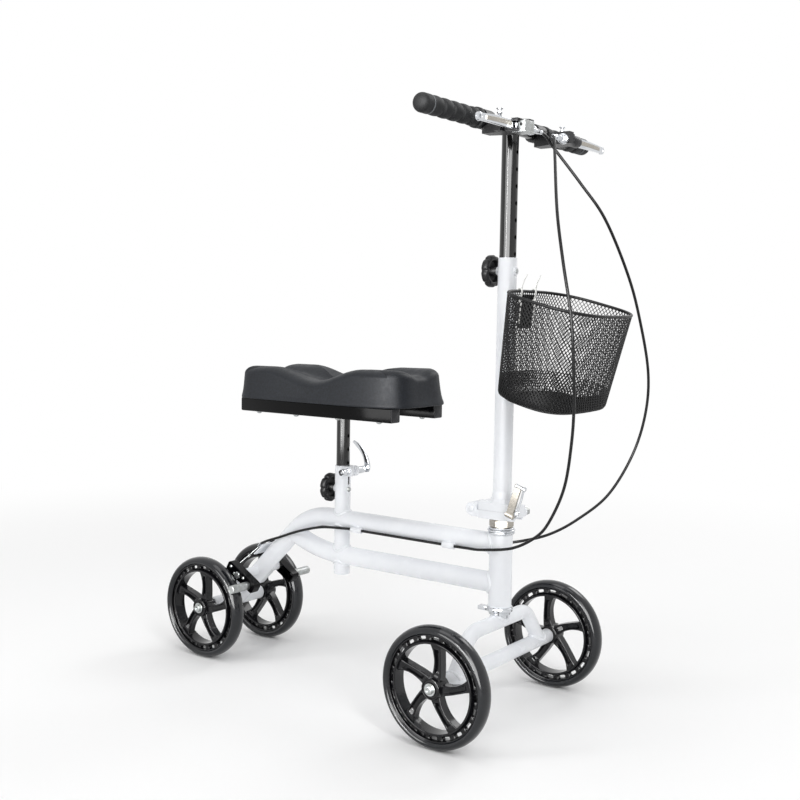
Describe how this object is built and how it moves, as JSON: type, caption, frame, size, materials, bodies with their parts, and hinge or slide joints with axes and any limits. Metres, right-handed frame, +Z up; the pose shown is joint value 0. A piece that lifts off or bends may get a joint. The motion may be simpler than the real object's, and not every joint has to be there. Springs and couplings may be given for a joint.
{
  "type": "knee walker",
  "caption": "Steerable knee scooter with a contoured knee pad on a height post, a folding steering column, a hook-on basket and hand brakes that press on the rear tyres.",
  "frame": {"origin": "on the ground, under the middle of the walker's bounding box", "axes": "+X forward, +Y to the rider's left, +Z up; handlebar, basket and front wheels lie towards +X"},
  "size_m": [0.9343, 0.535, 1.019],
  "materials": {
    "white_paint": "glossy white powder coat on steel tube",
    "black_paint": "glossy black powder coat",
    "chrome": "polished",
    "zinc_plate": "dull zinc plate",
    "black_plastic": "moulded, fine grain",
    "glossy_plastic": "glossy black moulding",
    "tyre": "smooth solid polyurethane, glossy",
    "black_rubber": "matte moulded",
    "pad_foam": "moulded soft foam with a fine matte skin",
    "basket_wire": "black coated wire mesh and rim"
  },
  "bodies": {
    "frame": {"head_tube": "white_paint", "upper_tube": "white_paint", "lower_tube": "white_paint", "seat_tube": "white_paint", "rear_axle_tube": "white_paint", "brake_bracket": "white_paint", "headset_upper_cup": "chrome", "headset_lower_cup": "chrome", "rear_axle": "zinc_plate", "brake_pivot_bolt": "zinc_plate", "seat_clamp_skewer": "zinc_plate", "brake_cable_right_rear": "black_rubber", "brake_cable_left_rear": "black_rubber"},
    "knee_rest": {"seat_post": "black_paint", "pad_rail_left": "black_paint", "pad_rail_right": "black_paint", "knee_pad": "pad_foam"},
    "seat_lever": {"seat_quick_release_lever": "chrome"},
    "seat_knob": {"seat_knob": "black_plastic"},
    "fork": {"steerer_tube": "zinc_plate", "fork_arch": "white_paint", "front_axle_tube": "white_paint", "front_axle": "zinc_plate", "headset_lock_nut": "chrome", "fold_base": "white_paint", "fold_skewer": "zinc_plate"},
    "fold_lever": {"fold_lever": "zinc_plate"},
    "column": {"column_tube": "white_paint", "fold_head": "white_paint", "basket_bracket": "white_paint"},
    "column_knob": {"column_knob": "black_plastic"},
    "basket": {"basket_mesh": "basket_wire", "basket_rim": "basket_wire", "basket_hook_plate": "basket_wire"},
    "handlebar": {"handlebar_stem": "black_paint", "handlebar_bar": "black_paint", "grip_left": "black_rubber", "grip_right": "black_rubber", "lever_clamp_left": "glossy_plastic", "lever_clamp_right": "glossy_plastic", "barrel_adjuster_left": "zinc_plate", "barrel_adjuster_right": "zinc_plate", "brake_cable_left_loop": "black_rubber", "brake_cable_right_loop": "black_rubber"},
    "brake_lever_left": {"brake_lever_left": "chrome"},
    "brake_lever_right": {"brake_lever_right": "chrome"},
    "lock_pin_left": {"lock_pin_left": "chrome"},
    "lock_pin_right": {"lock_pin_right": "chrome"},
    "brake_arm_left": {"brake_arm_left": "black_paint", "brake_roller_left": "zinc_plate"},
    "brake_arm_right": {"brake_arm_right": "black_paint", "brake_roller_right": "zinc_plate"},
    "wheel_front_left": {"tyre_front_left": "tyre", "rim_front_left": "glossy_plastic"},
    "wheel_front_right": {"tyre_front_right": "tyre", "rim_front_right": "glossy_plastic"},
    "wheel_rear_left": {"tyre_rear_left": "tyre", "rim_rear_left": "glossy_plastic"},
    "wheel_rear_right": {"tyre_rear_right": "tyre", "rim_rear_right": "glossy_plastic"}
  },
  "joints": [
    {"name": "seat_height", "type": "slide", "parent": "frame", "child": "knee_rest", "axis": [0, 0, 1], "range_m": [-0.05, 0.05]},
    {"name": "seat_lever_swing", "type": "hinge", "parent": "frame", "child": "seat_lever", "pos_m": [-0.06463, 0.0396, 0.3935], "axis": [-1, 0, 0], "range_deg": [0, 110]},
    {"name": "seat_knob_turn", "type": "hinge", "parent": "frame", "child": "seat_knob", "pos_m": [-0.10163, 0, 0.358], "axis": [1, 0, 0], "continuous": true},
    {"name": "steering", "type": "hinge", "parent": "frame", "child": "fork", "pos_m": [0.26437, 0, 0.198], "axis": [0, 0, 1], "range_deg": [-40, 40], "deforming": ["brake_cable_left_loop", "brake_cable_right_loop"]},
    {"name": "fold_lever_swing", "type": "hinge", "parent": "fork", "child": "fold_lever", "pos_m": [0.29637, -0.0276, 0.35705], "axis": [1, 0, 0], "range_deg": [0, 110]},
    {"name": "column_fold", "type": "hinge", "parent": "fork", "child": "column", "pos_m": [0.21437, 0, 0.35805], "axis": [0, -1, 0], "range_deg": [0, 32], "deforming": ["brake_cable_left_loop", "brake_cable_right_loop"]},
    {"name": "column_knob_turn", "type": "hinge", "parent": "column", "child": "column_knob", "pos_m": [0.24837, 0, 0.765], "axis": [1, 0, 0], "continuous": true},
    {"name": "basket_lift", "type": "slide", "parent": "column", "child": "basket", "axis": [0, 0, 1], "range_m": [0, 0.05]},
    {"name": "handlebar_height", "type": "slide", "parent": "column", "child": "handlebar", "axis": [0, 0, 1], "range_m": [-0.14, 0.028], "deforming": ["brake_cable_left_loop", "brake_cable_right_loop"]},
    {"name": "brake_lever_left_squeeze", "type": "hinge", "parent": "handlebar", "child": "brake_lever_left", "pos_m": [0.32337, 0.084, 0.989], "axis": [0, 0, 1], "range_deg": [0, 15], "stiffness_Nm_per_rad": 1.5},
    {"name": "lock_pin_left_press", "type": "slide", "parent": "handlebar", "child": "lock_pin_left", "axis": [0, 0, -1], "range_m": [0, 0.005], "stiffness_N_per_m": 400, "springref_m": -0.002},
    {"name": "brake_lever_right_squeeze", "type": "hinge", "parent": "handlebar", "child": "brake_lever_right", "pos_m": [0.32337, -0.084, 0.989], "axis": [0, 0, -1], "range_deg": [0, 15], "stiffness_Nm_per_rad": 1.5},
    {"name": "lock_pin_right_press", "type": "slide", "parent": "handlebar", "child": "lock_pin_right", "axis": [0, 0, -1], "range_m": [0, 0.005], "stiffness_N_per_m": 400, "springref_m": -0.002},
    {"name": "brake_arm_left_swing", "type": "hinge", "parent": "frame", "child": "brake_arm_left", "pos_m": [-0.29713, 0, 0.1705], "axis": [0, 1, 0], "range_deg": [0, 4]},
    {"name": "brake_arm_right_swing", "type": "hinge", "parent": "frame", "child": "brake_arm_right", "pos_m": [-0.29713, 0, 0.1705], "axis": [0, 1, 0], "range_deg": [0, 4]},
    {"name": "wheel_front_left_spin", "type": "hinge", "parent": "fork", "child": "wheel_front_left", "pos_m": [0.26437, 0.192, 0.1], "axis": [0, 1, 0], "continuous": true},
    {"name": "wheel_front_right_spin", "type": "hinge", "parent": "fork", "child": "wheel_front_right", "pos_m": [0.26437, -0.192, 0.1], "axis": [0, 1, 0], "continuous": true},
    {"name": "wheel_rear_left_spin", "type": "hinge", "parent": "frame", "child": "wheel_rear_left", "pos_m": [-0.36763, 0.088, 0.1], "axis": [0, 1, 0], "continuous": true},
    {"name": "wheel_rear_right_spin", "type": "hinge", "parent": "frame", "child": "wheel_rear_right", "pos_m": [-0.36763, -0.088, 0.1], "axis": [0, 1, 0], "continuous": true}
  ],
  "couplings": [
    {"joint": "brake_arm_right_swing", "follows": "brake_lever_left_squeeze", "ratio": 0.25},
    {"joint": "brake_arm_left_swing", "follows": "brake_lever_right_squeeze", "ratio": 0.25}
  ]
}
